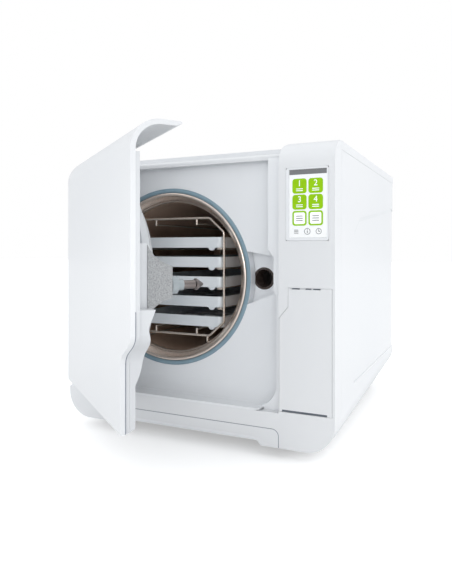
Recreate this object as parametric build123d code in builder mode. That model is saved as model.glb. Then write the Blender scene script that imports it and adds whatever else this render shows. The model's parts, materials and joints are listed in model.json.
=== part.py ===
from build123d import *
from math import cos, radians, sin, sqrt
import os

os.makedirs("parts", exist_ok=True)

# Casing
body_width = 465
roof_height = 457
underside_height = 15
side_depth = 495
rear_cover_depth = 50
rear_cover_inset = 22
shell_wall = 3
crest_radius = 38
lower_corner_radius = 43
side_edge_rise = 28
roof_rim_height = 13
roof_step_drop = 12
base_height = 50
seam = 0.4

# Pillar with the display and the service door
pillar_left = body_width / 2 - 82
pillar_corner_radius = 12
front_wall = 7.5
display_left = pillar_left + 10.9
display_width = 62.5
display_bottom = roof_height - 144.4
display_height = 103.4
screen_margin_left = 5
screen_margin_right = 2.3
screen_margin_low = 4.2
screen_margin_high = 2.5

# Service door in the pillar
service_door_width = 77.5
service_door_height = 177
service_door_bottom = 68.5
service_door_thickness = 4
service_notch_width = 13.5
service_notch_height = 27
service_notch_slant = 16
service_pivot_radius = 1.3
service_frame = 7

# Drawer under the bay
drawer_width = body_width - 165
drawer_top = 41.2
drawer_raise = 12
drawer_flat_width = 224
drawer_slant = 11
drawer_depth = 165
drawer_travel = 130
drawer_corner_radius = 10
drawer_gap = 0.6

# Door bay and chamber
bay_depth = 48
bay_strip_front = 14
bay_right = pillar_left - 21.5
bay_low_right = pillar_left - 8.5
bay_strip_right = pillar_left - 3.5
bay_corner_radius = 34
bay_edge_radius = 22
bay_left_front = 30
chamber_radius = (body_width - 215) / 2
chamber_x = chamber_radius - body_width / 2 + 46.8
chamber_z = (underside_height + base_height + roof_height - roof_step_drop) / 2
chamber_depth = side_depth - 95
bay_low_top = chamber_z - 23
chamber_wall = 3
lip_radius = chamber_radius + 15.7
lip_front = 47
lip_back = 65
gasket_width = 6.6
gasket_depth = 11

# Lock: the receptacle in the bay and the pin on the door
lock_x = pillar_left - 49
lock_z = chamber_z - 0.5
receptacle_face = 67
receptacle_radius = 17.7
receptacle_length = 57
funnel_mouth_radius = 14.2
funnel_throat_radius = 11.3
funnel_depth = 22
pin_head_radius = 7.8
pin_shaft_radius = 5.7
pin_bush_radius = 7.4
pin_flange_radius = 12
pin_reach = 113

# Door, drawn closed and turned open about its hinge
door_rest_angle = 38.1
door_right = pillar_left - 2.5
door_bottom = underside_height + base_height + 5.5
door_skin = 6.5
door_edge_depth = 12
door_flap_back = 66
door_top_corner_radius = 33
door_cut_width = 42
door_cut_high = chamber_z - 55
door_cut_low = chamber_z - 98
door_plateau = 31
hinge_x = 17.5 - body_width / 2
hinge_y = 40
hinge_z = (underside_height + base_height + 55, roof_height - 69)
hinge_barrel_radius = 7
hinge_barrel_height = 24
hinge_pin_radius = 3
hinge_clearance = 0.06
plate_radius = chamber_radius + 20
plate_back = 46.6
plug_radius = chamber_radius - 1
plug_front = 61
bracket_left = lock_x - 14.5
bracket_right = lock_x + 16.5
bracket_front = 64
bracket_low = chamber_z - 38
bracket_high = chamber_z + 51
door_boss_radius = chamber_radius + 9

# Wire rack and trays
wire_radius = 2
rail_radius = 1.7
post_radius = 1.85
post_overshoot = 2.4
rack_half_width = chamber_radius - 34.5
rack_half_height = chamber_radius - 27
rack_corner_width = 26.5
rack_corner_height = 24
rack_front = lip_back + 5
rack_back = lip_back + chamber_depth - 35
weld_gap = 0.15
rail_inset = 13
tray_count = 5
tray_pitch = (2 * rack_half_height - 31) / tray_count
tray_width = 2 * rack_half_width - 7
tray_height = 17.5
tray_length = rack_back - rack_front - 10
tray_wall = 1.2
tray_corner_radius = 10

# Feet
foot_radius = 16
foot_inset_x = 75
foot_inset_front = 60
foot_inset_back = 45

half_width = body_width / 2
swing = radians(door_rest_angle)
door_tip_y = hinge_y - (door_right - hinge_x) * sin(swing) - hinge_y * cos(swing)
door_corner_x = hinge_x - (hinge_x + half_width) * cos(swing) - hinge_y * sin(swing)
centre_x = (door_corner_x + half_width) / 2
centre_y = (door_tip_y + side_depth + rear_cover_depth) / 2
datum = (-centre_x, -centre_y, 0)

# The machine's own planes meet at the bench, under the middle of the front face
floor = Plane(origin=datum)
front = Plane(origin=datum, x_dir=(1, 0, 0), z_dir=(0, -1, 0))
side = Plane(origin=datum, x_dir=(0, 1, 0), z_dir=(1, 0, 0))
hinge_place = Location((hinge_x - centre_x, hinge_y - centre_y, 0))
swung = hinge_place * Location((0, 0, 0), (0, 0, -door_rest_angle)) * hinge_place.inverse()
door_floor = Plane(swung * floor.location)
door_front = Plane(swung * front.location)
door_side = Plane(swung * side.location)

roof_step = roof_height - roof_step_drop
base_top = underside_height + base_height
crest_start = roof_height - crest_radius
fascia_depth = crest_radius + 0.5


# Lower front: the pillar and the base strip are one moulding
with BuildPart() as fascia_core:
    with BuildSketch(side.offset(pillar_left + shell_wall)):
        with BuildLine():
            Polyline((fascia_depth + 1, underside_height + shell_wall), (front_wall, underside_height + shell_wall),
                     (front_wall, crest_start))
            ThreePointArc((front_wall, crest_start),
                          (crest_radius - (crest_radius - front_wall) * cos(radians(45)),
                           crest_start + (crest_radius - shell_wall) * sin(radians(45)) - 2),
                          (crest_radius, roof_height - shell_wall))
            Polyline((crest_radius, roof_height - shell_wall), (fascia_depth + 1, roof_height - shell_wall),
                     (fascia_depth + 1, underside_height + shell_wall))
        make_face()
    extrude(amount=half_width - pillar_left - 2 * shell_wall)
    with BuildSketch(front.offset(-front_wall)):
        with Locations((0, underside_height + base_height / 2)):
            Rectangle(body_width - 2 * shell_wall, base_height - 2 * shell_wall)
    extrude(amount=-(fascia_depth + 1 - front_wall))
    low_edges = fascia_core.edges().filter_by(Axis.Y).group_by(Axis.Z)[0]
    fillet(low_edges, lower_corner_radius - shell_wall)

notch_top = service_door_bottom + service_door_height
notch_right = half_width - shell_wall - 0.5 - service_door_width + service_notch_width
service_left = half_width - shell_wall - 0.5 - service_door_width
service_right = half_width - shell_wall - 0.5

with BuildPart() as front_fascia:
    with BuildSketch(side.offset(-half_width)):
        with BuildLine():
            Line((fascia_depth, underside_height), (0, underside_height))
            Line((0, underside_height), (0, crest_start))
            RadiusArc((0, crest_start), (crest_radius, roof_height), crest_radius)
            Polyline((crest_radius, roof_height), (fascia_depth, roof_height), (fascia_depth, underside_height))
        make_face()
    extrude(amount=body_width)
    with BuildSketch(front):
        with Locations((-half_width, base_top)):
            Rectangle(half_width + pillar_left, roof_height, align=(Align.MIN, Align.MIN))
    extrude(amount=-fascia_depth, mode=Mode.SUBTRACT)
    fillet(front_fascia.edges().filter_by(Axis.Y).group_by(Axis.Z)[0], lower_corner_radius)
    with BuildSketch(front):
        with Locations((pillar_left, roof_height)):
            Rectangle(2 * pillar_corner_radius, 2 * pillar_corner_radius)
        with Locations((pillar_left + pillar_corner_radius, roof_height - pillar_corner_radius)):
            Circle(pillar_corner_radius, mode=Mode.SUBTRACT)
            Rectangle(pillar_corner_radius, 3 * pillar_corner_radius, align=(Align.MIN, Align.CENTER),
                      mode=Mode.SUBTRACT)
            Rectangle(3 * pillar_corner_radius, pillar_corner_radius, align=(Align.CENTER, Align.MAX),
                      mode=Mode.SUBTRACT)
    extrude(amount=-fascia_depth, mode=Mode.SUBTRACT)
    add(fascia_core.part, mode=Mode.SUBTRACT)
    with BuildSketch(front):
        with Locations((display_left, display_bottom)):
            Rectangle(display_width, display_height, align=(Align.MIN, Align.MIN))
    extrude(amount=-front_wall - 1, mode=Mode.SUBTRACT)
    with BuildSketch(front):
        with BuildLine():
            Polyline((service_left, service_door_bottom - seam),
                     (service_right, service_door_bottom - seam),
                     (service_right, notch_top + seam),
                     (notch_right - seam, notch_top + seam),
                     (notch_right - seam, notch_top - service_notch_height),
                     (service_left - seam, notch_top - service_notch_height - service_notch_slant),
                     (service_left - seam, service_door_bottom - seam),
                     (service_left, service_door_bottom - seam))
        make_face()
    extrude(amount=-service_door_thickness - 0.5, mode=Mode.SUBTRACT)
    with BuildSketch(front):
        with Locations((notch_right, service_door_bottom + service_frame)):
            Rectangle(service_door_width - service_notch_width - service_frame,
                      service_door_height - 2 * service_frame, align=(Align.MIN, Align.MIN))
    extrude(amount=-front_wall - 1, mode=Mode.SUBTRACT)
    with BuildSketch(floor.offset(service_door_bottom - 6)):
        with Locations((service_right - service_door_thickness / 2 - seam, service_door_thickness / 2)):
            Circle(service_pivot_radius + hinge_clearance)
    extrude(amount=service_door_height + 12, mode=Mode.SUBTRACT)
    with BuildSketch(front):
        with Locations((0, 0)):
            Rectangle(drawer_width + 2 * drawer_gap, drawer_top + drawer_gap, align=(Align.CENTER, Align.MIN))
    extrude(amount=-fascia_depth, mode=Mode.SUBTRACT)
    drawer_edges = front_fascia.edges().filter_by(Axis.Y).filter_by_position(
        Axis.Z, drawer_top + drawer_gap - 0.1, drawer_top + drawer_gap + 0.1)
    fillet(drawer_edges, drawer_corner_radius)
front_fascia.part.label = "front_fascia"
export_step(front_fascia.part, "parts/front_fascia.step")


# Display: a raised frame with the touch glass in it and the board behind
screen_left = display_left + screen_margin_left
screen_width = display_width - screen_margin_left - screen_margin_right
screen_bottom = display_bottom + screen_margin_low
screen_height = display_height - screen_margin_low - screen_margin_high
display_fit = 0.2
with BuildPart() as display_bezel:
    with BuildSketch(front.offset(0.8)):
        with Locations((display_left + display_width / 2, display_bottom + display_height / 2)):
            RectangleRounded(display_width - 2 * display_fit, display_height - 2 * display_fit, 3)
        with Locations((screen_left + screen_width / 2, screen_bottom + screen_height / 2)):
            RectangleRounded(screen_width, screen_height, 1.5, mode=Mode.SUBTRACT)
    extrude(amount=-front_wall - 0.8)
    chamfer(display_bezel.faces().sort_by(Axis.Y)[0].outer_wire().edges(), 0.6)
display_bezel.part.label = "display_bezel"
export_step(display_bezel.part, "parts/display_bezel.step")

with BuildPart() as display_glass:
    with BuildSketch(front.offset(0.2)):
        with Locations((screen_left + screen_width / 2, screen_bottom + screen_height / 2)):
            RectangleRounded(screen_width - 2 * display_fit, screen_height - 2 * display_fit, 1.3)
    extrude(amount=-2.2)
display_glass.part.label = "display_glass"
export_step(display_glass.part, "parts/display_glass.step")

with BuildPart() as display_board:
    with BuildSketch(front.offset(-2.2)):
        with Locations((screen_left + screen_width / 2, screen_bottom + screen_height / 2)):
            Rectangle(screen_width - 2, screen_height - 2)
    extrude(amount=-5)
    with BuildSketch(front.offset(-front_wall - display_fit)):
        with Locations((display_left + display_width / 2, display_bottom + display_height / 2)):
            Rectangle(display_width + 6, display_height + 10)
    extrude(amount=-1.6)
    with BuildSketch(front.offset(-7)):
        with Locations((display_left + display_width / 2, display_bottom + display_height / 2)):
            Rectangle(screen_width - 8, screen_height - 8)
    extrude(amount=-1)
display_board.part.label = "display_board"
export_step(display_board.part, "parts/display_board.step")


# Service door: it turns on two moulded pivots in its right-hand edge
pivot_x = service_right - service_door_thickness / 2 - seam
pivot_y = service_door_thickness / 2
with BuildPart() as service_door:
    with BuildSketch(front):
        with BuildLine():
            Polyline((service_left, service_door_bottom),
                     (pivot_x, service_door_bottom),
                     (pivot_x, notch_top),
                     (notch_right, notch_top),
                     (notch_right, notch_top - service_notch_height - 0.3),
                     (service_left, notch_top - service_notch_height - service_notch_slant - 0.3),
                     (service_left, service_door_bottom))
        make_face()
    extrude(amount=-service_door_thickness)
    with BuildSketch(floor.offset(service_door_bottom)):
        with Locations((pivot_x, pivot_y)):
            Circle(service_door_thickness / 2)
    extrude(amount=service_door_height)
    with BuildSketch(floor.offset(service_door_bottom - 4)):
        with Locations((pivot_x, pivot_y)):
            Circle(service_pivot_radius)
    extrude(amount=service_door_height + 8)
    with BuildSketch(front):
        with Locations((service_left + 37, service_door_bottom)):
            Rectangle(66, 3, align=(Align.CENTER, Align.MIN))
        with Locations((notch_right + 26, notch_top)):
            Rectangle(44, 1.8, align=(Align.CENTER, Align.MAX))
    extrude(amount=-2, mode=Mode.SUBTRACT)
service_door.part.label = "service_door"
export_step(service_door.part, "parts/service_door.step")

niche_left = notch_right
niche_width = service_door_width - service_notch_width - service_frame
niche_depth = 62
with BuildPart() as service_niche:
    with BuildSketch(front.offset(-front_wall - 0.2)):
        with Locations((niche_left + niche_width / 2, service_door_bottom + service_door_height / 2)):
            Rectangle(niche_width + 6, service_door_height - 2 * service_frame + 6)
    extrude(amount=-niche_depth)
    with BuildSketch(front.offset(-front_wall - 0.2)):
        with Locations((niche_left + niche_width / 2, service_door_bottom + service_door_height / 2)):
            Rectangle(niche_width, service_door_height - 2 * service_frame)
    extrude(amount=-niche_depth + 3, mode=Mode.SUBTRACT)
service_niche.part.label = "service_niche"
export_step(service_niche.part, "parts/service_niche.step")

niche_back = front_wall + 0.2 + niche_depth - 3
coupling_x = niche_left + niche_width / 2
coupling_z = (service_door_bottom + 30, service_door_bottom + 70)
with BuildPart() as drain_couplings:
    for height in coupling_z:
        with BuildSketch(front.offset(-niche_back)):
            with Locations((coupling_x, height)):
                Circle(11)
        extrude(amount=14)
        with BuildSketch(front.offset(-niche_back + 14)):
            with Locations((coupling_x, height)):
                RegularPolygon(9, 6)
        extrude(amount=8)
        with BuildSketch(front.offset(-niche_back + 22)):
            with Locations((coupling_x, height)):
                Circle(6)
        extrude(amount=12)
        with BuildSketch(front.offset(-niche_back + 34)):
            with Locations((coupling_x, height)):
                Circle(4)
        extrude(amount=-24, mode=Mode.SUBTRACT)
drain_couplings.part.label = "drain_couplings"
export_step(drain_couplings.part, "parts/drain_couplings.step")

with BuildPart() as air_filter:
    with BuildSketch(front.offset(-niche_back)):
        with Locations((coupling_x, service_door_bottom + 128)):
            Circle(8)
    extrude(amount=12)
    with BuildSketch(front.offset(-niche_back + 12)):
        with Locations((coupling_x, service_door_bottom + 128)):
            Circle(22)
    extrude(amount=32)
    fillet(air_filter.edges().filter_by(GeomType.CIRCLE).group_by(Axis.Y)[0], 4)
air_filter.part.label = "air_filter"
export_step(air_filter.part, "parts/air_filter.step")


# Drawer with the dust filter
with BuildPart() as drawer_front:
    with BuildSketch(front):
        with BuildLine():
            Polyline((-drawer_width / 2, underside_height), (-drawer_flat_width / 2 - drawer_slant, underside_height),
                     (-drawer_flat_width / 2, underside_height + drawer_raise),
                     (drawer_flat_width / 2, underside_height + drawer_raise),
                     (drawer_flat_width / 2 + drawer_slant, underside_height),
                     (drawer_width / 2, underside_height), (drawer_width / 2, drawer_top),
                     (-drawer_width / 2, drawer_top), (-drawer_width / 2, underside_height))
        make_face()
    extrude(amount=-5)
    fillet(drawer_front.edges().filter_by(Axis.Y).group_by(Axis.Z)[-1], drawer_corner_radius - drawer_gap)
drawer_front.part.label = "drawer_front"
export_step(drawer_front.part, "parts/drawer_front.step")

drawer_tray_bottom = underside_height + 5
drawer_tray_width = drawer_width - 24
with BuildPart() as drawer_tray:
    with BuildSketch(front.offset(-5)):
        with Locations((0, drawer_tray_bottom)):
            Rectangle(drawer_tray_width, drawer_top - drawer_tray_bottom - 3, align=(Align.CENTER, Align.MIN))
    extrude(amount=-drawer_depth)
    with BuildSketch(floor.offset(drawer_tray_bottom + 2)):
        with Locations((0, 5 + drawer_depth / 2)):
            Rectangle(drawer_tray_width - 5, drawer_depth - 5)
    extrude(amount=drawer_top, mode=Mode.SUBTRACT)
    with BuildSketch(floor.offset(drawer_tray_bottom)):
        with Locations((0, 5 + drawer_depth / 2)):
            with GridLocations(30, 26, 8, 5):
                SlotOverall(22, 8)
    extrude(amount=2, mode=Mode.SUBTRACT)
drawer_tray.part.label = "drawer_tray"
export_step(drawer_tray.part, "parts/drawer_tray.step")

with BuildPart() as dust_filter:
    with BuildSketch(floor.offset(drawer_tray_bottom + 2.2)):
        with Locations((0, 5 + drawer_depth / 2)):
            Rectangle(drawer_tray_width - 6, drawer_depth - 6)
    extrude(amount=8)
dust_filter.part.label = "dust_filter"
export_step(dust_filter.part, "parts/dust_filter.step")


# Base pan with the drawer's runners, and the feet
pan_half = half_width - lower_corner_radius - seam
pan_front = fascia_depth + seam
pan_back = side_depth - shell_wall - seam
with BuildPart() as base_pan:
    with BuildSketch(front.offset(-pan_front)):
        with Locations((0, underside_height)):
            Rectangle(2 * pan_half, side_edge_rise + 6, align=(Align.CENTER, Align.MIN))
        with Locations((0, underside_height + 2)):
            Rectangle(2 * pan_half - 4, side_edge_rise + 6, align=(Align.CENTER, Align.MIN), mode=Mode.SUBTRACT)
    extrude(amount=-(pan_back - pan_front))
    with BuildSketch(floor.offset(underside_height + 2)):
        with Locations((0, pan_front)):
            with GridLocations(drawer_tray_width - 40, 1, 2, 1):
                Rectangle(10, drawer_depth - 20, align=(Align.CENTER, Align.MIN))
    extrude(amount=drawer_tray_bottom - underside_height - 2 - 0.3)
base_pan.part.label = "base_pan"
export_step(base_pan.part, "parts/base_pan.step")

with BuildPart() as feet:
    with BuildSketch(floor):
        with Locations((0, (foot_inset_front + side_depth - foot_inset_back) / 2)):
            with GridLocations(body_width - 2 * foot_inset_x, side_depth - foot_inset_front - foot_inset_back, 2, 2):
                Circle(foot_radius)
    extrude(amount=underside_height, taper=-6)
    fillet(feet.edges().group_by(Axis.Z)[0], 2)
feet.part.label = "feet"
export_step(feet.part, "parts/feet.step")


step_front = crest_radius - 2
step_back = door_flap_back + 1.5
roof_back = side_depth + 9
step_right = door_right + 0.9


# Side covers: bent sheet whose lower edge climbs towards the back
cover_top = roof_height - roof_rim_height - seam
inner_arc = lower_corner_radius - shell_wall
bend = cos(radians(45))

side_recess = 1.8
recess_front = 118
recess_low = 92
recess_high_front = 352
recess_high_back = 389
recess_top_start = 161
recess_back = side_depth + 5
for name, sign, start in (("side_cover_left", -1, 30), ("side_cover_right", 1, fascia_depth + seam)):
    with BuildPart() as side_cover:
        for depth, low in ((start, underside_height), (side_depth, underside_height + side_edge_rise)):
            bend_x = sign * (half_width - lower_corner_radius)
            bend_z = low + lower_corner_radius
            outer = sign * half_width
            inner = sign * (half_width - shell_wall)
            lip = sign * (half_width - 14)
            with BuildSketch(front.offset(-depth)):
                with BuildLine():
                    Line((bend_x, low + shell_wall), (bend_x, low))
                    ThreePointArc((bend_x, low),
                                  (bend_x + sign * lower_corner_radius * bend, bend_z - lower_corner_radius * bend),
                                  (outer, bend_z))
                    Polyline((outer, bend_z), (outer, cover_top), (lip, cover_top), (lip, cover_top - shell_wall),
                             (inner, cover_top - shell_wall), (inner, bend_z))
                    ThreePointArc((inner, bend_z), (bend_x + sign * inner_arc * bend, bend_z - inner_arc * bend),
                                  (bend_x, low + shell_wall))
                make_face()
        loft(ruled=True)
        with BuildSketch(side.offset(sign * (half_width - side_recess))):
            with BuildLine():
                outline = FilletPolyline((recess_front, recess_low), (recess_front, recess_high_front - 26),
                                         (recess_top_start, recess_high_front), (recess_back, recess_high_back),
                                         (recess_back, recess_low), radius=16)
                Line(outline @ 1, outline @ 0)
            make_face()
        extrude(amount=sign * (side_recess + 1), mode=Mode.SUBTRACT)
        with BuildSketch(front):
            with Locations((sign * half_width, 0)):
                Rectangle(2 * lower_corner_radius + 10, base_top + seam, align=(Align.CENTER, Align.MIN))
        extrude(amount=-(fascia_depth + seam), mode=Mode.SUBTRACT)
        if sign < 0:
            with BuildSketch(front):
                with Locations((sign * half_width, roof_step - 9 - seam)):
                    Rectangle(40, 40, align=(Align.CENTER, Align.MIN))
            extrude(amount=-(step_back + shell_wall + seam), mode=Mode.SUBTRACT)
    side_cover.part.label = name
    export_step(side_cover.part, "parts/" + name + ".step")


# Roof: it drops to a step behind the door's flap
with BuildPart() as top_cover:
    with BuildSketch(side.offset(-half_width)):
        with BuildLine():
            Polyline((step_front, roof_step - 9), (step_front, roof_step), (step_back, roof_step),
                     (step_back, roof_height), (roof_back, roof_height),
                     (roof_back, roof_height - roof_rim_height),
                     (roof_back - shell_wall, roof_height - roof_rim_height),
                     (roof_back - shell_wall, roof_height - shell_wall),
                     (step_back + shell_wall, roof_height - shell_wall),
                     (step_back + shell_wall, roof_step - shell_wall),
                     (step_front + shell_wall, roof_step - shell_wall),
                     (step_front + shell_wall, roof_step - 9), (step_front, roof_step - 9))
        make_face()
    extrude(amount=half_width + step_right)
    step_edge = top_cover.edges().filter_by(Axis.X).group_by(Axis.Y)[0].sort_by(Axis.Z)[-1]
    fillet(step_edge, 5)
    with BuildSketch(side.offset(step_right)):
        with BuildLine():
            Polyline((fascia_depth + seam, roof_height - shell_wall), (fascia_depth + seam, roof_height),
                     (roof_back, roof_height), (roof_back, roof_height - roof_rim_height),
                     (roof_back - shell_wall, roof_height - roof_rim_height),
                     (roof_back - shell_wall, roof_height - shell_wall),
                     (fascia_depth + seam, roof_height - shell_wall))
        make_face()
    extrude(amount=half_width - step_right)
    with BuildSketch(side.offset(step_right)):
        with BuildLine():
            Polyline((fascia_depth + seam, roof_step - 9), (fascia_depth + seam, roof_height),
                     (step_back + shell_wall, roof_height), (step_back + shell_wall, roof_step - 9),
                     (fascia_depth + seam, roof_step - 9))
        make_face()
    extrude(amount=shell_wall)
    with BuildSketch(side.offset(half_width - shell_wall)):
        with BuildLine():
            Polyline((fascia_depth + seam, roof_height - roof_rim_height), (fascia_depth + seam, roof_height),
                     (roof_back, roof_height), (roof_back, roof_height - roof_rim_height),
                     (fascia_depth + seam, roof_height - roof_rim_height))
        make_face()
    extrude(amount=shell_wall)
    with BuildSketch(side.offset(-half_width)):
        with BuildLine():
            Polyline((step_back, roof_height - roof_rim_height), (step_back, roof_height),
                     (roof_back, roof_height), (roof_back, roof_height - roof_rim_height),
                     (step_back, roof_height - roof_rim_height))
        make_face()
    extrude(amount=shell_wall)
top_cover.part.label = "top_cover"
export_step(top_cover.part, "parts/top_cover.step")


# Rear cover: a sheet tray with cooling slots, set in from the sides
rear_low = underside_height + side_edge_rise + 20
rear_high = roof_height - roof_rim_height - 14
rear_half = half_width - rear_cover_inset
vent_rows = 7
rear_wall = 2
fit_gap = 0.2
inlet_width = 27
inlet_height = 20
inlet_x = half_width - 80
inlet_z = rear_low + 45
screw_radius = 2
screw_x = half_width - 11
screw_places = [(hand * screw_x, height) for height in (rear_low + 25, (rear_low + rear_high) / 2, rear_high - 25)
                for hand in (-1, 1)]
with BuildPart() as rear_hollow:
    with BuildSketch(front.offset(-side_depth)):
        with Locations((0, (rear_low + rear_high) / 2)):
            RectangleRounded(2 * (rear_half - rear_wall), rear_high - rear_low - 2 * rear_wall, 10)
    extrude(amount=-rear_cover_depth + rear_wall)
    fillet(rear_hollow.faces().sort_by(Axis.Y)[-1].edges(), 6)

with BuildPart() as rear_cover:
    with BuildSketch(front.offset(-side_depth)):
        with Locations((0, (rear_low + rear_high) / 2)):
            RectangleRounded(2 * rear_half, rear_high - rear_low, 12)
    extrude(amount=-rear_cover_depth)
    fillet(rear_cover.faces().sort_by(Axis.Y)[-1].edges(), 8)
    add(rear_hollow.part, mode=Mode.SUBTRACT)
    with BuildSketch(front.offset(-side_depth + shell_wall)):
        with Locations((0, (underside_height + side_edge_rise + shell_wall + cover_top - shell_wall) / 2)):
            Rectangle(body_width - 2 * shell_wall - 2 * seam,
                      cover_top - underside_height - side_edge_rise - 2 * shell_wall - 2 * seam)
            RectangleRounded(2 * rear_half - 14, rear_high - rear_low - 30, 10, mode=Mode.SUBTRACT)
        for edge in (-1, 1):
            with Locations((edge * (half_width - 20), underside_height + side_edge_rise + 12)):
                Rectangle(60, 60, mode=Mode.SUBTRACT)
    extrude(amount=-shell_wall)
    with BuildSketch(front.offset(-side_depth - rear_cover_depth + 2)):
        with Locations((chamber_x, rear_high - 70)):
            with GridLocations(60, 12, 3, vent_rows):
                SlotOverall(46, 5)
    extrude(amount=-2, mode=Mode.SUBTRACT)
    with BuildSketch(front.offset(-side_depth - rear_cover_depth + rear_wall)):
        with Locations((inlet_x, inlet_z)):
            Rectangle(inlet_width + 2 * fit_gap, inlet_height + 2 * fit_gap)
    extrude(amount=-rear_wall, mode=Mode.SUBTRACT)
    with BuildSketch(front.offset(-side_depth + shell_wall)):
        with Locations(*screw_places):
            Circle(screw_radius + fit_gap)
    extrude(amount=-shell_wall, mode=Mode.SUBTRACT)
rear_cover.part.label = "rear_cover"
export_step(rear_cover.part, "parts/rear_cover.step")

rear_face = side_depth + rear_cover_depth
with BuildPart() as mains_inlet:
    with BuildSketch(front.offset(-rear_face - fit_gap)):
        with Locations((inlet_x, inlet_z)):
            RectangleRounded(inlet_width + 20, inlet_height + 4, 5)
    extrude(amount=-2.5)
    with BuildSketch(front.offset(-rear_face + 20)):
        with Locations((inlet_x, inlet_z)):
            Rectangle(inlet_width, inlet_height)
    extrude(amount=-20 - fit_gap)
    with BuildSketch(front.offset(-rear_face + 17)):
        with Locations((inlet_x, inlet_z)):
            RectangleRounded(inlet_width - 4, inlet_height - 4, 3)
    extrude(amount=-20, mode=Mode.SUBTRACT)
    with BuildSketch(front.offset(-rear_face + 17)):
        with Locations((inlet_x - 7, inlet_z - 2), (inlet_x, inlet_z + 3), (inlet_x + 7, inlet_z - 2)):
            Rectangle(2, 4)
    extrude(amount=-15)
mains_inlet.part.label = "mains_inlet"
export_step(mains_inlet.part, "parts/mains_inlet.step")

with BuildPart() as cover_screws:
    with BuildSketch(front.offset(-side_depth - fit_gap)):
        with Locations(*screw_places):
            Circle(2 * screw_radius)
    extrude(amount=-2.4)
    with BuildSketch(front.offset(-side_depth + shell_wall + 5)):
        with Locations(*screw_places):
            Circle(screw_radius)
    extrude(amount=-shell_wall - 5 - fit_gap)
    with BuildSketch(front.offset(-side_depth - 1.4)):
        with Locations(*screw_places):
            RegularPolygon(screw_radius, 6)
    extrude(amount=-2, mode=Mode.SUBTRACT)
cover_screws.part.label = "cover_screws"
export_step(cover_screws.part, "parts/cover_screws.step")


# Door bay: one thin moulding with the chamber mouth, the lock pocket and the finger hollow
bay_wall = 3
bay_left = -half_width + shell_wall + seam + bay_wall
bay_floor = base_top + bay_wall
lock_wall_x = bay_right + 8.5
lock_wall_high = chamber_z + 34
hollows = []
for grow, depth in ((0, bay_depth), (bay_wall, bay_depth + bay_wall)):
    with BuildPart() as hollow:
        with BuildSketch(front.offset(-depth)):
            with BuildLine():
                Polyline((bay_left - grow, bay_floor - grow),
                         (bay_low_right + grow, bay_floor - grow),
                         (bay_low_right + grow, bay_low_top + grow),
                         (lock_wall_x + grow, bay_low_top + grow + 8),
                         (lock_wall_x + grow, lock_wall_high + grow),
                         (bay_right + grow, lock_wall_high + grow + 12),
                         (bay_right + grow, roof_height + 40),
                         (bay_left - grow, roof_height + 40),
                         (bay_left - grow, bay_floor - grow))
            make_face()
        extrude(amount=depth + 20)
        corner = hollow.edges().filter_by(Axis.Y).group_by(Axis.Z)[0].sort_by(Axis.X)[-1]
        fillet(corner, bay_corner_radius + grow)
        back_edges = hollow.faces().sort_by(Axis.Y)[-1].edges()
        fillet(back_edges.sort_by(Axis.X)[1:].filter_by(lambda edge: edge.center().Z < roof_height), bay_edge_radius + grow)
    hollows.append(hollow.part)

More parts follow.
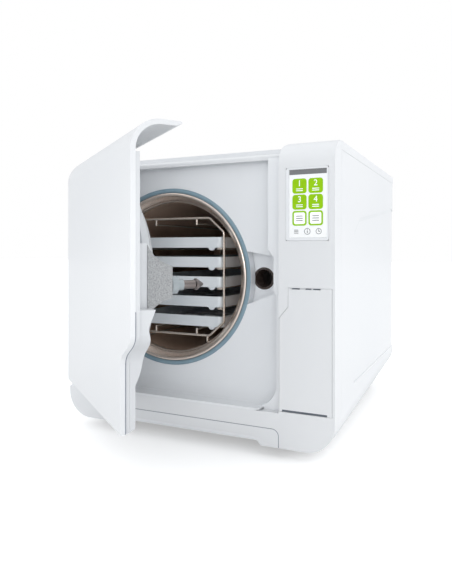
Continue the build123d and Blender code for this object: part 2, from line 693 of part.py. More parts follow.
gasket_radius = lip_radius + gasket_width
pocket_depth = receptacle_face + 1.2
pocket_left = lock_x - 23.5
pocket_right = lock_x + 26.5
pocket_corners = ((pocket_left, chamber_z + 43), (pocket_right, chamber_z + 34.5), (pocket_right, chamber_z - 22),
                  (pocket_left, chamber_z - 42))
with BuildPart() as bay_liner:
    with BuildSketch(front.offset(-bay_strip_front)):
        with BuildLine():
            Polyline((bay_low_right - 20, bay_floor - bay_wall), (bay_strip_right, bay_floor - bay_wall),
                     (bay_strip_right, roof_step - 10), (bay_right - 20, roof_step - 10),
                     (bay_low_right - 20, bay_floor - bay_wall))
        make_face()
    extrude(amount=-bay_wall)
    with BuildSketch(front.offset(-bay_strip_front)):
        with Locations((bay_strip_right - bay_wall, bay_floor - bay_wall)):
            Rectangle(bay_wall, roof_step - 10 - bay_floor + bay_wall, align=(Align.MIN, Align.MIN))
    extrude(amount=-(bay_depth + bay_wall - bay_strip_front))
    add(hollows[1])
    with BuildSketch(front.offset(-bay_depth)):
        with BuildLine():
            Polyline(*pocket_corners, pocket_corners[0])
        make_face()
        offset(amount=bay_wall, kind=Kind.INTERSECTION)
    extrude(amount=-(pocket_depth + bay_wall - bay_depth))
    add(hollows[0], mode=Mode.SUBTRACT)
    with BuildSketch(front.offset(-bay_strip_front - 10)):
        with BuildLine():
            Polyline(*pocket_corners, pocket_corners[0])
        make_face()
    extrude(amount=-(pocket_depth - bay_strip_front - 10), mode=Mode.SUBTRACT)
    with BuildSketch(front.offset(-receptacle_face)):
        with Locations((lock_x, lock_z)):
            Circle(receptacle_radius - 1)
    extrude(amount=-bay_wall - 3, mode=Mode.SUBTRACT)
    with BuildSketch(front):
        with Locations((chamber_x, chamber_z)):
            Circle(gasket_radius + 0.3)
    extrude(amount=-bay_depth - gasket_depth, mode=Mode.SUBTRACT)
    with BuildSketch(front.offset(40)):
        with Locations((-half_width, 0)):
            Rectangle(body_width, bay_floor - bay_wall, align=(Align.MIN, Align.MIN))
        with Locations((-half_width, roof_step - shell_wall - seam)):
            Rectangle(body_width, 100, align=(Align.MIN, Align.MIN))
    extrude(amount=-140, mode=Mode.SUBTRACT)
    with BuildSketch(front.offset(40)):
        with Locations((-half_width, roof_step - 9 - seam)):
            Rectangle(body_width, 100, align=(Align.MIN, Align.MIN))
    extrude(amount=-40 - step_front - shell_wall - seam, mode=Mode.SUBTRACT)
    with BuildSketch(front.offset(40)):
        with Locations((-half_width, 0)):
            Rectangle(bay_strip_right - 50 + half_width, roof_height, align=(Align.MIN, Align.MIN))
        with Locations((-half_width, 0)):
            Rectangle(body_width, bay_floor, align=(Align.MIN, Align.MIN), mode=Mode.SUBTRACT)
    extrude(amount=-40 - bay_left_front, mode=Mode.SUBTRACT)
    with BuildSketch(front.offset(40)):
        with Locations((-half_width, 0)):
            Rectangle(body_width, roof_height, align=(Align.MIN, Align.MIN))
    extrude(amount=-40 - seam, mode=Mode.SUBTRACT)
    with BuildSketch(front.offset(40)):
        with Locations((0, bay_floor)):
            Rectangle(body_width, roof_height, align=(Align.MIN, Align.MIN))
    extrude(amount=-40 - bay_strip_front, mode=Mode.SUBTRACT)
    for height in hinge_z:
        with BuildSketch(front.offset(-bay_depth)):
            with Locations((hinge_x + 1, height)):
                Rectangle(16, 2 * hinge_barrel_height + 4)
        extrude(amount=-bay_wall, mode=Mode.SUBTRACT)
bay_liner.part.label = "bay_liner"
export_step(bay_liner.part, "parts/bay_liner.step")


# Chamber: drawn vessel with a domed back, polished lip, gasket and jacket
chamber_side = side.offset(chamber_x)
chamber_axis = Axis((chamber_side.origin.X, 0, chamber_z), (0, 1, 0))
vessel_front = lip_back + 3 + 0.2
vessel_back = lip_back + chamber_depth
with BuildPart() as chamber:
    with BuildSketch(chamber_side):
        with BuildLine():
            Polyline((vessel_back + 12, chamber_z), (vessel_back + 12, chamber_z + 60))
            Line((vessel_back + 12, chamber_z + 60), (vessel_back - 14, chamber_z + chamber_radius))
            Polyline((vessel_back - 14, chamber_z + chamber_radius), (vessel_front, chamber_z + chamber_radius),
                     (vessel_front, chamber_z + chamber_radius + 9),
                     (vessel_front + 4, chamber_z + chamber_radius + 9),
                     (vessel_front + 4, chamber_z + chamber_radius + chamber_wall),
                     (vessel_back - 12, chamber_z + chamber_radius + chamber_wall),
                     (vessel_back + 15, chamber_z + 61), (vessel_back + 15, chamber_z),
                     (vessel_back + 12, chamber_z))
        make_face()
    revolve(axis=chamber_axis)
chamber.part.label = "chamber"
export_step(chamber.part, "parts/chamber.step")

with BuildPart() as chamber_lip:
    with BuildSketch(chamber_side):
        with BuildLine():
            Polyline((lip_front, chamber_z + lip_radius - 1.5), (lip_back, chamber_z + chamber_radius + 0.5),
                     (lip_back + 3, chamber_z + chamber_radius),
                     (lip_back + 3, chamber_z + chamber_radius + 9),
                     (lip_front + gasket_depth, chamber_z + chamber_radius + 9),
                     (lip_front + gasket_depth, chamber_z + lip_radius - 0.2),
                     (lip_front, chamber_z + lip_radius - 0.2), (lip_front, chamber_z + lip_radius - 1.5))
        make_face()
    revolve(axis=chamber_axis)
chamber_lip.part.label = "chamber_lip"
export_step(chamber_lip.part, "parts/chamber_lip.step")

with BuildPart() as door_gasket:
    with BuildSketch(chamber_side):
        with BuildLine():
            Polyline((lip_front + 1.2, chamber_z + lip_radius), (lip_front + gasket_depth, chamber_z + lip_radius),
                     (lip_front + gasket_depth, chamber_z + gasket_radius),
                     (lip_front + 1.2, chamber_z + gasket_radius))
            ThreePointArc((lip_front + 1.2, chamber_z + gasket_radius),
                          (lip_front, chamber_z + (lip_radius + gasket_radius) / 2),
                          (lip_front + 1.2, chamber_z + lip_radius))
        make_face()
    revolve(axis=chamber_axis)
door_gasket.part.label = "door_gasket"
export_step(door_gasket.part, "parts/door_gasket.step")

band_inner = chamber_radius + chamber_wall + 0.2
with BuildPart() as heater_bands:
    for start in (110, chamber_depth - 70):
        with BuildSketch(front.offset(-start)):
            with Locations((chamber_x, chamber_z)):
                Circle(band_inner + 3)
                Circle(band_inner, mode=Mode.SUBTRACT)
        extrude(amount=-90)
heater_bands.part.label = "heater_bands"
export_step(heater_bands.part, "parts/heater_bands.step")

jacket_inner = band_inner + 3.2
jacket_outer = chamber_radius + 19
with BuildPart() as insulation:
    with BuildSketch(front.offset(-86)):
        with Locations((chamber_x, chamber_z)):
            Circle(jacket_outer)
            Circle(jacket_inner, mode=Mode.SUBTRACT)
    extrude(amount=-(vessel_back - 100))
insulation.part.label = "insulation"
export_step(insulation.part, "parts/insulation.step")

with BuildPart() as chamber_cradle:
    for start in (100, chamber_depth - 40):
        with BuildSketch(front.offset(-start)):
            with Locations((chamber_x, underside_height + 2.2)):
                Rectangle(220, chamber_z - 60 - underside_height, align=(Align.CENTER, Align.MIN))
            with Locations((chamber_x, chamber_z)):
                Circle(jacket_outer + 0.2, mode=Mode.SUBTRACT)
            with Locations((0, 0)):
                Rectangle(drawer_width, drawer_top + 6, align=(Align.CENTER, Align.MIN), mode=Mode.SUBTRACT)
        extrude(amount=-20)
chamber_cradle.part.label = "chamber_cradle"
export_step(chamber_cradle.part, "parts/chamber_cradle.step")


# Lock receptacle: a conical mouth for the pin, with the motor unit behind it
lock_side = side.offset(lock_x)
lock_axis = Axis((lock_side.origin.X, 0, lock_z), (0, 1, 0))
with BuildPart() as latch_receptacle:
    with BuildSketch(lock_side):
        with BuildLine():
            Polyline((receptacle_face, lock_z + funnel_mouth_radius), (receptacle_face, lock_z + receptacle_radius - 1),
                     (receptacle_face + 1, lock_z + receptacle_radius),
                     (receptacle_face + 1, lock_z + receptacle_radius - 1.2),
                     (receptacle_face + 5, lock_z + receptacle_radius - 1.2),
                     (receptacle_face + receptacle_length, lock_z + receptacle_radius - 1.2),
                     (receptacle_face + receptacle_length, lock_z + funnel_throat_radius),
                     (receptacle_face + funnel_depth, lock_z + funnel_throat_radius),
                     (receptacle_face, lock_z + funnel_mouth_radius))
        make_face()
    revolve(axis=lock_axis)
latch_receptacle.part.label = "latch_receptacle"
export_step(latch_receptacle.part, "parts/latch_receptacle.step")

unit_front = receptacle_face + receptacle_length + 0.2
with BuildPart() as lock_unit:
    with BuildSketch(front.offset(-unit_front)):
        with Locations((lock_x + 8, lock_z)):
            RectangleRounded(52, 70, 4)
    extrude(amount=-34)
    with BuildSketch(front.offset(-unit_front - 34)):
        with Locations((lock_x + 8, lock_z + 12)):
            Circle(19)
    extrude(amount=-56)
    with BuildSketch(front.offset(-unit_front)):
        with Locations((lock_x, lock_z)):
            Circle(2)
    extrude(amount=2.5)
lock_unit.part.label = "lock_unit"
export_step(lock_unit.part, "parts/lock_unit.step")


# Wire rack: two eight-sided frames joined by the shelf rails
corner_x = rack_half_width
corner_z = rack_half_height
octagon = ((-corner_x, corner_z - rack_corner_height), (-corner_x + rack_corner_width, corner_z),
           (corner_x - rack_corner_width, corner_z), (corner_x, corner_z - rack_corner_height),
           (corner_x, -corner_z + rack_corner_height), (corner_x - rack_corner_width, -corner_z),
           (-corner_x + rack_corner_width, -corner_z), (-corner_x, -corner_z + rack_corner_height))
tray_floors = [chamber_z + (2 - index) * tray_pitch - tray_height for index in range(tray_count)]
rail_x = rack_half_width - rail_inset
tray_front = rack_front + wire_radius + 0.3
skid_x = chamber_radius - 65
skid_drop = sqrt((chamber_radius - post_overshoot - 0.3) ** 2 - (skid_x + post_radius) ** 2)
rack_origin = Vector(datum[0] + chamber_x, datum[1], chamber_z)
with BuildPart() as tray_rack:
    for depth in (rack_front, rack_back):
        with BuildLine(Plane(origin=rack_origin + Vector(0, depth, 0), x_dir=(1, 0, 0), z_dir=(0, -1, 0))):
            frame_wire = FilletPolyline(*octagon, radius=8, close=True)
        with BuildSketch(Plane(origin=frame_wire @ 0, z_dir=frame_wire % 0)):
            Circle(wire_radius)
        sweep(path=frame_wire)
tray_rack.part.label = "tray_rack"
export_step(tray_rack.part, "parts/tray_rack.step")

weld_reach = wire_radius + weld_gap
run_front = rack_front + weld_reach
run_length = rack_back - rack_front - 2 * weld_reach
with BuildPart() as rack_rails:
    for floor_z in tray_floors:
        for hand in (-1, 1):
            level = floor_z - chamber_z - rail_radius - 0.2
            if abs(level) < corner_z - rack_corner_height:
                weld_x = hand * (rack_half_width - weld_reach)
                with BuildLine():
                    rail = FilletPolyline(rack_origin + Vector(weld_x, rack_front, level),
                                          rack_origin + Vector(hand * rail_x, rack_front, level),
                                          rack_origin + Vector(hand * rail_x, rack_back, level),
                                          rack_origin + Vector(weld_x, rack_back, level), radius=5)
                with BuildSketch(Plane(origin=rail @ 0, z_dir=rail % 0)):
                    Circle(rail_radius)
                sweep(path=rail)
            else:
                with BuildSketch(front.offset(-run_front)):
                    with Locations((chamber_x + hand * rail_x, chamber_z + level)):
                        Circle(rail_radius)
                extrude(amount=-run_length)
rack_rails.part.label = "rack_rails"
export_step(rack_rails.part, "parts/rack_rails.step")

strut_x = 40
strut_inset = 9
with BuildPart() as rack_struts:
    for across, strut_z, frame_z in ((strut_x, corner_z - strut_inset, corner_z),
                                     (strut_x, strut_inset - corner_z, -corner_z),
                                     (skid_x, -skid_drop, -corner_z)):
        toward = 1 if frame_z > strut_z else -1
        post_start = chamber_z + strut_z - toward * post_overshoot
        post_length = abs(frame_z - strut_z) - weld_reach + post_overshoot
        for hand in (-1, 1):
            with BuildSketch(front.offset(-rack_front)):
                with Locations((chamber_x + hand * across, chamber_z + strut_z)):
                    Circle(rail_radius)
            extrude(amount=-(rack_back - rack_front))
            for depth in (rack_front, rack_back):
                with BuildSketch(floor.offset(post_start)):
                    with Locations((chamber_x + hand * across, depth)):
                        Circle(post_radius)
                extrude(amount=toward * post_length)
rack_struts.part.label = "rack_struts"
export_step(rack_struts.part, "parts/rack_struts.step")

for index, floor_z in enumerate(tray_floors):
    with BuildPart() as tray:
        with BuildSketch(floor.offset(floor_z)):
            with Locations((chamber_x, tray_front + tray_length / 2)):
                RectangleRounded(tray_width, tray_length, tray_corner_radius)
        extrude(amount=tray_height)
        with BuildSketch(floor.offset(floor_z + tray_wall)):
            with Locations((chamber_x, tray_front + tray_length / 2)):
                RectangleRounded(tray_width - 2 * tray_wall, tray_length - 2 * tray_wall,
                                 tray_corner_radius - tray_wall)
        extrude(amount=tray_height, mode=Mode.SUBTRACT)
        with BuildSketch(floor.offset(floor_z)):
            with Locations((chamber_x, tray_front + tray_length / 2)):
                with GridLocations(44, 42, 3, 7):
                    SlotOverall(34, 9)
        extrude(amount=tray_wall, mode=Mode.SUBTRACT)
    tray.part.label = f"tray_{index + 1}"
    export_step(tray.part, f"parts/tray_{index + 1}.step")


# Hinge: fixed brackets behind the bay, door knuckles above them, one pin each
bracket_depth = bay_depth + 26
with BuildPart() as hinge_brackets:
    for height in hinge_z:
        with BuildSketch(floor.offset(height - hinge_barrel_height)):
            with Locations((hinge_x, hinge_y)):
                Circle(hinge_barrel_radius)
            with Locations((hinge_x - 4, hinge_y)):
                Rectangle(9, bracket_depth - hinge_y, align=(Align.MIN, Align.MIN))
            with Locations((hinge_x, hinge_y)):
                Circle(hinge_pin_radius + hinge_clearance, mode=Mode.SUBTRACT)
        extrude(amount=hinge_barrel_height - 0.3)
hinge_brackets.part.label = "hinge_brackets"
export_step(hinge_brackets.part, "parts/hinge_brackets.step")

with BuildPart() as hinge_pins:
    for height in hinge_z:
        with BuildSketch(floor.offset(height - hinge_barrel_height)):
            with Locations((hinge_x, hinge_y)):
                Circle(hinge_pin_radius)
        extrude(amount=2 * hinge_barrel_height)
        with BuildSketch(floor.offset(height + hinge_barrel_height + 0.3)):
            with Locations((hinge_x, hinge_y)):
                Circle(hinge_pin_radius + 2)
        extrude(amount=2)
        with BuildSketch(floor.offset(height + hinge_barrel_height)):
            with Locations((hinge_x, hinge_y)):
                Circle(hinge_pin_radius)
        extrude(amount=1)
hinge_pins.part.label = "hinge_pins"
export_step(hinge_pins.part, "parts/hinge_pins.step")

with BuildPart() as hinge_post:
    with BuildSketch(floor.offset(underside_height + side_edge_rise + 30)):
        with Locations((-half_width + shell_wall + 0.3, bracket_depth + 0.2)):
            Rectangle(36, 3, align=(Align.MIN, Align.MIN))
            Rectangle(3, 20, align=(Align.MIN, Align.MIN))
    extrude(amount=cover_top - 10 - underside_height - side_edge_rise - 30)
hinge_post.part.label = "hinge_post"
export_step(hinge_post.part, "parts/hinge_post.step")


# Door, drawn closed on its own turned planes
with BuildPart() as door_shell:
    with BuildSketch(door_side.offset(-half_width)):
        with BuildLine():
            Line((door_skin, door_bottom), (0, door_bottom))
            Line((0, door_bottom), (0, crest_start))
            RadiusArc((0, crest_start), (crest_radius, roof_height), crest_radius)
            Line((crest_radius, roof_height), (door_flap_back - 2, roof_height - 0.8))
            Line((door_flap_back - 2, roof_height - 0.8), (door_flap_back, roof_height - 3))
            Line((door_flap_back, roof_height - 3), (door_flap_back - 8, roof_height - door_skin))
            Line((door_flap_back - 8, roof_height - door_skin), (crest_radius, roof_height - door_skin))
            RadiusArc((crest_radius, roof_height - door_skin), (door_skin, crest_start), door_skin - crest_radius)
            Line((door_skin, crest_start), (door_skin, door_bottom))
        make_face()
    extrude(amount=half_width + door_right)
    with BuildSketch(door_front):
        with BuildLine():
            Line((door_right + 1, door_cut_high), (door_right, door_cut_high))
            Bezier((door_right, door_cut_high), (door_right, door_cut_high - 20),
                   (door_right - door_cut_width, door_cut_low + 20), (door_right - door_cut_width, door_cut_low))
            Polyline((door_right - door_cut_width, door_cut_low), (door_right - door_cut_width, door_bottom - 1),
                     (door_right + 1, door_bottom - 1), (door_right + 1, door_cut_high))
        make_face()
    extrude(amount=-60, mode=Mode.SUBTRACT)
    with BuildSketch(door_front):
        with Locations((-half_width, roof_height)):
            Rectangle(2 * door_top_corner_radius, 2 * door_top_corner_radius)
        with Locations((-half_width + door_top_corner_radius, roof_height - door_top_corner_radius)):
            Circle(door_top_corner_radius, mode=Mode.SUBTRACT)
            Rectangle(door_top_corner_radius + 1, 3 * door_top_corner_radius, align=(Align.MIN, Align.CENTER),
                      mode=Mode.SUBTRACT)
            Rectangle(3 * door_top_corner_radius, door_top_corner_radius + 1, align=(Align.CENTER, Align.MAX),
                      mode=Mode.SUBTRACT)
    extrude(amount=-door_flap_back - 5, mode=Mode.SUBTRACT)
door_shell.part.label = "door_skin"
export_step(door_shell.part, "parts/door_skin.step")

inner_left = hinge_x + 15
inner_top = crest_start - 3
with BuildPart() as door_inner:
    with BuildSketch(door_front.offset(-door_skin - 0.2)):
        with BuildLine():
            Line((inner_left, door_bottom + 1), (door_right - door_cut_width - 1, door_bottom + 1))
            Line((door_right - door_cut_width - 1, door_bottom + 1), (door_right - door_cut_width - 1, door_cut_low))
            Bezier((door_right - door_cut_width - 1, door_cut_low), (door_right - door_cut_width - 1, door_cut_low + 20),
                   (door_right - 1, door_cut_high - 20), (door_right - 1, door_cut_high))
            Polyline((door_right - 1, door_cut_high), (door_right - 1, inner_top), (inner_left, inner_top),
                     (inner_left, door_bottom + 1))
        make_face()
    extrude(amount=-(door_edge_depth - door_skin - 0.2))
    with BuildSketch(door_front.offset(-door_edge_depth)):
        with Locations((chamber_x, chamber_z)):
            Circle(door_boss_radius)
    extrude(amount=-(door_plateau - door_edge_depth), taper=12)
    with BuildSketch(door_front.offset(-door_edge_depth)):
        with Locations((bracket_left - 32, (bracket_low + bracket_high) / 2)):
            Rectangle(bracket_right - bracket_left + 32, bracket_high - bracket_low + 6,
                      align=(Align.MIN, Align.CENTER))
    extrude(amount=-(door_plateau - door_edge_depth), taper=4)
door_inner.part.label = "door_inner_shell"
export_step(door_inner.part, "parts/door_inner_shell.step")

grip_top = bay_low_top - 4.5
grip_right = bay_low_right - 1.5
grip_back = 19.5
with BuildPart() as door_grip:
    with BuildSketch(door_side.offset(door_right - door_cut_width - 14)):
        with BuildLine():
            Polyline((door_edge_depth + 0.2, door_bottom + 2), (grip_back, door_bottom + 6),
                     (grip_back, door_cut_low - 27))
            Spline((grip_back, door_cut_low - 27), (grip_back + 10.5, door_cut_low + 15),
                   (grip_back + 6.5, door_cut_high))
            Polyline((grip_back + 6.5, door_cut_high), (grip_back + 5.5, door_cut_high + 6), (34, grip_top),
                     (door_edge_depth + 0.2, grip_top), (door_edge_depth + 0.2, door_bottom + 2))
        make_face()
    extrude(amount=grip_right - door_right + door_cut_width + 14)
    with BuildSketch(door_front):
        with BuildLine():
            Line((door_right + 1, door_cut_high), (grip_right, door_cut_high))
            Bezier((grip_right, door_cut_high), (grip_right, door_cut_high - 20),
                   (door_right - door_cut_width - 1, door_cut_low + 20), (door_right - door_cut_width - 1, door_cut_low))
            Polyline((door_right - door_cut_width - 1, door_cut_low), (door_right - door_cut_width - 1, door_bottom - 1),
                     (door_right + 1, door_bottom - 1), (door_right + 1, door_cut_high))
        make_face()
    extrude(amount=-60, mode=Mode.SUBTRACT)
    with BuildSketch(door_front):
        with Locations((bracket_right + 1, bracket_low - 6)):
            Rectangle(80, 60, align=(Align.MAX, Align.MIN))
    extrude(amount=-60, mode=Mode.SUBTRACT)
door_grip.part.label = "door_grip"
export_step(door_grip.part, "parts/door_grip.step")

plate_side = door_side.offset(chamber_x)
plate_axis = Axis(plate_side.from_local_coords((0, chamber_z, 0)), plate_side.x_dir)
with BuildPart() as pressure_plate:
    with BuildSketch(plate_side):
        with BuildLine():
            Polyline((door_plateau + 0.2, chamber_z), (door_plateau + 0.2, chamber_z + plate_radius - 10),
                     (plate_back - 8, chamber_z + plate_radius), (plate_back, chamber_z + plate_radius),
                     (plate_back, chamber_z + plug_radius), (plug_front - 5, chamber_z + plug_radius),
                     (plug_front, chamber_z + plug_radius - 6), (plug_front, chamber_z + 70),
                     (plug_front - 8, chamber_z + 60), (plug_front - 8, chamber_z), (door_plateau + 0.2, chamber_z))
        make_face()
    revolve(axis=plate_axis)
pressure_plate.part.label = "pressure_plate"
export_step(pressure_plate.part, "parts/pressure_plate.step")

bracket_width = bracket_right - bracket_left
with BuildPart() as lock_bracket:
    with BuildSketch(door_side.offset(bracket_left)):
        with BuildLine():
            Line((door_plateau + 0.2, bracket_low), (door_plateau + 0.2, bracket_high))
            ThreePointArc((door_plateau + 0.2, bracket_high), (46, bracket_high - 18.5),
                          (bracket_front, bracket_high - 26))
            Line((bracket_front, bracket_high - 26), (bracket_front, bracket_low + 21))
            ThreePointArc((bracket_front, bracket_low + 21), (47, bracket_low + 15.5),
                          (door_plateau + 0.2, bracket_low))
        make_face()
    extrude(amount=bracket_width)
    fillet(lock_bracket.edges().filter_by(Axis(door_front.origin, door_front.x_dir)).sort_by(
        Axis(door_front.origin, -door_front.z_dir))[-2:], 3)
lock_bracket.part.label = "lock_bracket"
export_step(lock_bracket.part, "parts/lock_bracket.step")

pin_side = door_side.offset(lock_x)
pin_axis = Axis(pin_side.from_local_coords((0, lock_z, 0)), pin_side.x_dir)
with BuildPart() as lock_bush:
    with BuildSketch(pin_side):
        with BuildLine():
            Polyline((bracket_front + 0.2, lock_z + pin_shaft_radius + 0.2), (bracket_front + 0.2, lock_z + 9),
                     (bracket_front + 3, lock_z + pin_flange_radius), (bracket_front + 11, lock_z + pin_flange_radius),
                     (bracket_front + 12, lock_z + pin_bush_radius), (bracket_front + 20, lock_z + pin_bush_radius),
                     (bracket_front + 20, lock_z + pin_shaft_radius + 0.2),
                     (bracket_front + 0.2, lock_z + pin_shaft_radius + 0.2))
        make_face()
    revolve(axis=pin_axis)
lock_bush.part.label = "lock_bush"
export_step(lock_bush.part, "parts/lock_bush.step")

with BuildPart() as lock_pin:
    with BuildSketch(pin_side):
        with BuildLine():
            Polyline((bracket_front + 0.2, lock_z), (bracket_front + 0.2, lock_z + pin_shaft_radius),
                     (pin_reach - 12, lock_z + pin_shaft_radius), (pin_reach - 11, lock_z + pin_head_radius),
                     (pin_reach - 9, lock_z + pin_head_radius), (pin_reach, lock_z + 1.6), (pin_reach, lock_z),
                     (bracket_front + 0.2, lock_z))
        make_face()
    revolve(axis=pin_axis)
lock_pin.part.label = "lock_pin"
export_step(lock_pin.part, "parts/lock_pin.step")

with BuildPart() as hinge_arms:
    for height in hinge_z:
        with BuildSketch(door_floor.offset(height)):
            with Locations((hinge_x, hinge_y)):
                Circle(hinge_barrel_radius)
            with Locations((hinge_x, hinge_y - 4)):
                Rectangle(30, 8, align=(Align.MIN, Align.MIN))
            with Locations((hinge_x + 22, hinge_y - 4)):
                Rectangle(8, hinge_y - door_edge_depth - 4 - 0.2, align=(Align.MIN, Align.MAX))
            with Locations((hinge_x, hinge_y)):
                Circle(hinge_pin_radius + hinge_clearance, mode=Mode.SUBTRACT)
        extrude(amount=hinge_barrel_height)
hinge_arms.part.label = "hinge_arms"
export_step(hinge_arms.part, "parts/hinge_arms.step")


# Service side: steam generator, pump, tank, boards, valves and the rear fan
pan_top = underside_height + 2
bay_x = half_width - 90.5
with BuildPart() as steam_generator:
    with BuildSketch(floor.offset(pan_top + 0.2)):
        with Locations((bay_x, 240)):
            RectangleRounded(84, 110, 8)
    extrude(amount=60)
    with BuildSketch(floor.offset(pan_top + 60)):
        with Locations((bay_x, 240)):
            with GridLocations(50, 80, 2, 2):
                Circle(5)
    extrude(amount=16)
steam_generator.part.label = "steam_generator"
export_step(steam_generator.part, "parts/steam_generator.step")

with BuildPart() as vacuum_pump:
    with BuildSketch(floor.offset(pan_top + 0.2)):
        with Locations((bay_x, side_depth - 102)):
            Rectangle(80, 170)
    extrude(amount=6)
    with BuildSketch(front.offset(180 - side_depth)):
        with Locations((bay_x, pan_top + 46)):
            Circle(40)
    extrude(amount=-100)
    with BuildSketch(front.offset(80 - side_depth)):
        with Locations((bay_x, pan_top + 46)):
            RectangleRounded(76, 76, 8)
    extrude(amount=-60)
vacuum_pump.part.label = "vacuum_pump"
export_step(vacuum_pump.part, "parts/vacuum_pump.step")

with BuildPart() as valve_block:
    with BuildSketch(floor.offset(pan_top + 110)):
        with Locations((bay_x, 240)):
            Rectangle(64, 120)
    extrude(amount=26)
    with BuildSketch(floor.offset(pan_top + 136)):
        with Locations((bay_x, 240)):
            with GridLocations(1, 28, 1, 4):
                Circle(11)
    extrude(amount=32)
    with BuildSketch(floor.offset(pan_top + 76.3)):
        with Locations((bay_x, 240)):
            with GridLocations(50, 80, 2, 2):
                Circle(4)
    extrude(amount=34)
valve_block.part.label = "valve_block"
export_step(valve_block.part, "parts/valve_block.step")

tank_floor = chamber_z + 45
with BuildPart() as water_tank:
    with BuildSketch(floor.offset(tank_floor)):
        with Locations((bay_x + 26, 270)):
            RectangleRounded(100, 300, 12)
    extrude(amount=cover_top - 20 - tank_floor)
    with BuildSketch(floor.offset(tank_floor + 4)):
        with Locations((bay_x + 26, 270)):
            RectangleRounded(92, 292, 9)
            Rectangle(4, 292, mode=Mode.SUBTRACT)
    extrude(amount=cover_top, mode=Mode.SUBTRACT)
water_tank.part.label = "water_tank"
export_step(water_tank.part, "parts/water_tank.step")

with BuildPart() as tank_shelf:
    with BuildSketch(floor.offset(tank_floor - 3)):
        with Locations((half_width - shell_wall - 0.3, 120)):
            Rectangle(112, 300, align=(Align.MAX, Align.MIN))
    extrude(amount=2.7)
tank_shelf.part.label = "tank_shelf"
export_step(tank_shelf.part, "parts/tank_shelf.step")

fan_x = chamber_x
fan_z = rear_high - 70
fan_depth = 25
fan_front = side_depth + rear_cover_depth - rear_wall - fan_depth - 0.3
with BuildPart() as fan_frame:
    with BuildSketch(front.offset(-fan_front)):
        with Locations((fan_x, fan_z)):
            RectangleRounded(120, 120, 6)
            Circle(57, mode=Mode.SUBTRACT)
    extrude(amount=-fan_depth)
    with BuildSketch(front.offset(-fan_front)):
        with Locations((fan_x, fan_z)):
            Circle(20)
            Rectangle(118, 6)
            Rectangle(6, 118)
    extrude(amount=-3)
    with BuildSketch(front.offset(-fan_front - 3)):
        with Locations((fan_x, fan_z)):
            Circle(2.5)
    extrude(amount=-14)
fan_frame.part.label = "fan_frame"
export_step(fan_frame.part, "parts/fan_frame.step")

with BuildPart() as fan_rotor:
    with BuildSketch(front.offset(-fan_front - 3.5)):
        with Locations((fan_x, fan_z)):
            Circle(19)
            with PolarLocations(0, 7):
                with Locations((36, 0)):
                    Rectangle(38, 10, rotation=28)
            Circle(2.5 + hinge_clearance, mode=Mode.SUBTRACT)
    extrude(amount=-13.5)
fan_rotor.part.label = "fan_rotor"
export_step(fan_rotor.part, "parts/fan_rotor.step")

with BuildPart() as power_board:
    with BuildSketch(side.offset(half_width - shell_wall - 7)):
        with Locations((side_depth - 95, chamber_z - 65)):
            Rectangle(140, 110)
    extrude(amount=-1.6)
    with BuildSketch(side.offset(half_width - shell_wall - 8.6)):
        with Locations((side_depth - 95, chamber_z - 65)):
            with GridLocations(60, 44, 2, 2):
                Rectangle(34, 24)
    extrude(amount=-22)
    with BuildSketch(side.offset(half_width - shell_wall - 7)):
        with Locations((side_depth - 95, chamber_z - 65)):
            with GridLocations(120, 90, 2, 2):
                Circle(3)
    extrude(amount=6.8)
power_board.part.label = "power_board"
export_step(power_board.part, "parts/power_board.step")
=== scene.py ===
import json
import math

import bpy
from mathutils import Matrix, Vector


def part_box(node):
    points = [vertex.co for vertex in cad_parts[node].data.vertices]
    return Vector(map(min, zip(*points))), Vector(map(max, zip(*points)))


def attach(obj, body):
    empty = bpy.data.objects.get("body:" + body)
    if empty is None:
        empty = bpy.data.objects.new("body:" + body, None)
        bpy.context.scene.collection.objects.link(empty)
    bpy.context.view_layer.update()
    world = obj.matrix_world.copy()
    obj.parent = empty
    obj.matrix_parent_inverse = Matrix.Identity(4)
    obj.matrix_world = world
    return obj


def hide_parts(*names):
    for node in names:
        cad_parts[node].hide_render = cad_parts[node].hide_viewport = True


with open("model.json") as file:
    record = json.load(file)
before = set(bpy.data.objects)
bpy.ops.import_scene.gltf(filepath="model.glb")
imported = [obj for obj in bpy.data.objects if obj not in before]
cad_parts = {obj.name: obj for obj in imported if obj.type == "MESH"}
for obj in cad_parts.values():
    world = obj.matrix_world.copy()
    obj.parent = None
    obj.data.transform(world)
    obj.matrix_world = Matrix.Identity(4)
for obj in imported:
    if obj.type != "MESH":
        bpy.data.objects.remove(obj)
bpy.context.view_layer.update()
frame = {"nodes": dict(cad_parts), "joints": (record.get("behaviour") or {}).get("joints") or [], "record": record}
nodes = frame["nodes"]

# Machine coordinates in millimetres: x from the middle, y from the front face, z from the bench
face_low, face_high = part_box("front_fascia")
middle_x = (face_low.x + face_high.x) / 2
front_y = face_low.y
hinge = next(j for j in frame["joints"] if j["name"] == "door_hinge")
hinge_point = Vector(hinge["pos_m"])
rest_angle = math.radians(hinge["range_deg"][1])
door_swing = Matrix.Rotation(-rest_angle, 4, "Z")
door_turn = Matrix.Translation(hinge_point) @ door_swing @ Matrix.Translation(-hinge_point)


def at(x, y, z):
    """A machine point in the world."""
    return Vector((middle_x + x / 1000, front_y + y / 1000, z / 1000))


def on_door(x, y, z):
    """A point of the closed door, carried to the door ajar."""
    return door_turn @ at(x, y, z)


noise_low, noise_high = 0.3, 0.7


def new_material(name):
    material = bpy.data.materials.new(name)
    material.use_nodes = True
    tree = material.node_tree
    return material, tree, tree.nodes["Principled BSDF"]


def noise(tree, scale, detail=3.0):
    place = tree.nodes.new("ShaderNodeTexCoord")
    texture = tree.nodes.new("ShaderNodeTexNoise")
    texture.inputs["Scale"].default_value = scale
    texture.inputs["Detail"].default_value = detail
    tree.links.new(place.outputs["Object"], texture.inputs["Vector"])
    return texture.outputs["Fac"]


